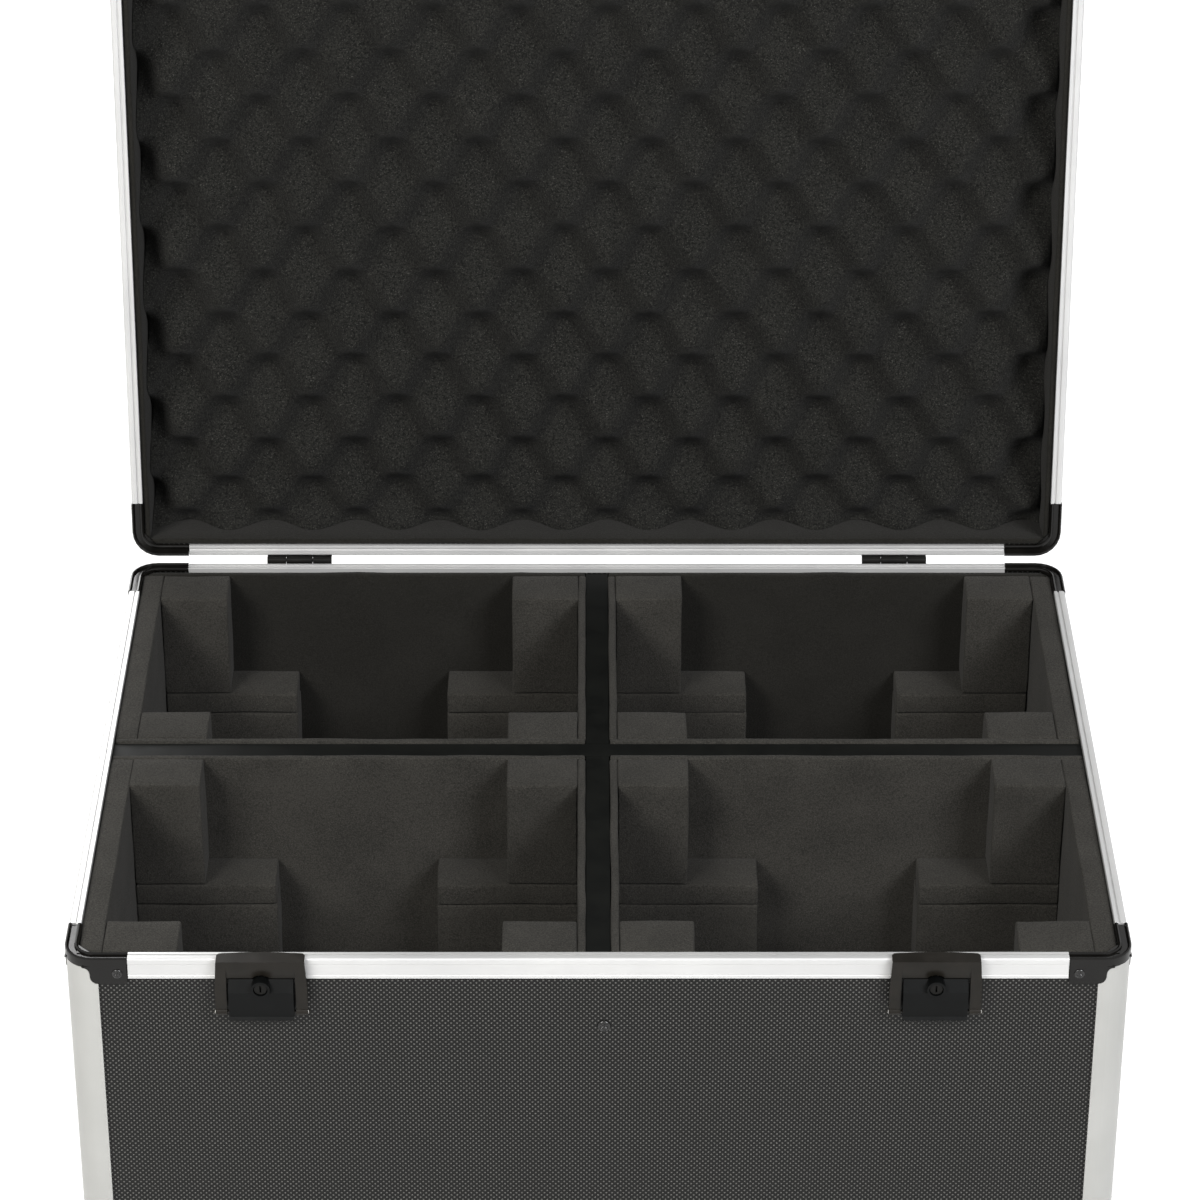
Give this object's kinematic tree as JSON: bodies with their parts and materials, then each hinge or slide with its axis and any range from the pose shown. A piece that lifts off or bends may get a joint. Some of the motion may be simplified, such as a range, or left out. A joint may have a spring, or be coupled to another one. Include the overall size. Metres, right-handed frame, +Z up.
{
  "type": "lighting flight case",
  "caption": "Hinged aluminium-edged flight case with foam-lined compartments, divider boards, egg-crate lid foam, key latches and side handles.",
  "frame": {"origin": "on the ground, under the middle of the box that holds the case with its lid open", "axes": "+X to the right seen from the front, +Y from the latches to the hinges, +Z up"},
  "size_m": [0.5504, 0.515, 0.6939],
  "materials": {
    "dotted_laminate": "dark laminate with a fine grid of pale dots",
    "aluminium_profile": "satin anodised",
    "black_plastic": "moulded, slightly glossy",
    "divider_board": "dark laminate, fine grain",
    "grey_foam": "open-cell foam, matt",
    "black_hardware": "black painted steel, satin"
  },
  "bodies": {
    "case": {"floor_panel": "dotted_laminate", "front_panel": "dotted_laminate", "rear_panel": "dotted_laminate", "left_panel": "dotted_laminate", "right_panel": "dotted_laminate", "corner_post_front_left": "aluminium_profile", "corner_post_front_right": "aluminium_profile", "corner_post_rear_right": "aluminium_profile", "corner_post_rear_left": "aluminium_profile", "base_rim_front": "aluminium_profile", "base_rim_rear": "aluminium_profile", "base_rim_left": "aluminium_profile", "base_rim_right": "aluminium_profile", "base_rim_corner_front_left": "black_plastic", "base_rim_corner_front_right": "black_plastic", "base_rim_corner_rear_right": "black_plastic", "base_rim_corner_rear_left": "black_plastic", "bottom_edging": "aluminium_profile", "bottom_corner_front_left": "black_plastic", "bottom_corner_front_right": "black_plastic", "bottom_corner_rear_right": "black_plastic", "bottom_corner_rear_left": "black_plastic", "long_divider": "divider_board", "cross_divider": "divider_board", "compartment_foam_front_left": "grey_foam", "compartment_foam_front_right": "grey_foam", "compartment_foam_rear_left": "grey_foam", "compartment_foam_rear_right": "grey_foam", "hinge_base_leaf_left": "black_hardware", "hinge_base_leaf_right": "black_hardware", "latch_plate_left": "black_hardware", "latch_plate_right": "black_hardware", "handle_plate_left": "black_hardware", "handle_plate_right": "black_hardware"},
    "lid": {"lid_shell": "dotted_laminate", "lid_rim_front": "aluminium_profile", "lid_rim_rear": "aluminium_profile", "lid_rim_left": "aluminium_profile", "lid_rim_right": "aluminium_profile", "lid_rim_corner_front_left": "black_plastic", "lid_rim_corner_front_right": "black_plastic", "lid_rim_corner_rear_right": "black_plastic", "lid_rim_corner_rear_left": "black_plastic", "lid_edging": "aluminium_profile", "lid_corner_front_left": "black_plastic", "lid_corner_front_right": "black_plastic", "lid_corner_rear_right": "black_plastic", "lid_corner_rear_left": "black_plastic", "lid_lining": "grey_foam", "egg_crate_foam": "grey_foam", "hinge_lid_leaf_left": "black_hardware", "hinge_lid_leaf_right": "black_hardware"},
    "latch_lever_left": {"latch_lever_left": "black_hardware"},
    "latch_hasp_left": {"latch_hasp_left": "black_hardware"},
    "lock_barrel_left": {"lock_barrel_left": "black_hardware"},
    "handle_left": {"handle_grip_left": "black_plastic"},
    "latch_lever_right": {"latch_lever_right": "black_hardware"},
    "latch_hasp_right": {"latch_hasp_right": "black_hardware"},
    "lock_barrel_right": {"lock_barrel_right": "black_hardware"},
    "handle_right": {"handle_grip_right": "black_plastic"}
  },
  "joints": [
    {"name": "lid_hinge", "type": "hinge", "parent": "case", "child": "lid", "pos_m": [0, 0.13984, 0.3084], "axis": [1, 0, 0], "range_deg": [0, 97.4]},
    {"name": "lever_left_pivot", "type": "hinge", "parent": "case", "child": "latch_lever_left", "pos_m": [-0.164, -0.25066, 0.297], "axis": [-1, 0, 0], "range_deg": [0, 90]},
    {"name": "hasp_left_pivot", "type": "hinge", "parent": "latch_lever_left", "child": "latch_hasp_left", "pos_m": [-0.164, -0.25316, 0.2802], "axis": [-1, 0, 0], "range_deg": [-90, 0]},
    {"name": "lock_left_turn", "type": "hinge", "parent": "latch_lever_left", "child": "lock_barrel_left", "pos_m": [-0.164, -0.25666, 0.2957], "axis": [0, -1, 0], "range_deg": [0, 90]},
    {"name": "handle_left_swing", "type": "hinge", "parent": "case", "child": "handle_left", "pos_m": [-0.2687, -0.05566, 0.205], "axis": [0, 1, 0], "range_deg": [0, 90]},
    {"name": "lever_right_pivot", "type": "hinge", "parent": "case", "child": "latch_lever_right", "pos_m": [0.164, -0.25066, 0.297], "axis": [-1, 0, 0], "range_deg": [0, 90]},
    {"name": "hasp_right_pivot", "type": "hinge", "parent": "latch_lever_right", "child": "latch_hasp_right", "pos_m": [0.164, -0.25316, 0.2802], "axis": [-1, 0, 0], "range_deg": [-90, 0]},
    {"name": "lock_right_turn", "type": "hinge", "parent": "latch_lever_right", "child": "lock_barrel_right", "pos_m": [0.164, -0.25666, 0.2957], "axis": [0, -1, 0], "range_deg": [0, 90]},
    {"name": "handle_right_swing", "type": "hinge", "parent": "case", "child": "handle_right", "pos_m": [0.2687, -0.05566, 0.205], "axis": [0, -1, 0], "range_deg": [0, 90]}
  ],
  "couplings": [
    {"joint": "hasp_left_pivot", "follows": "lever_left_pivot", "ratio": -1},
    {"joint": "hasp_right_pivot", "follows": "lever_right_pivot", "ratio": -1}
  ]
}
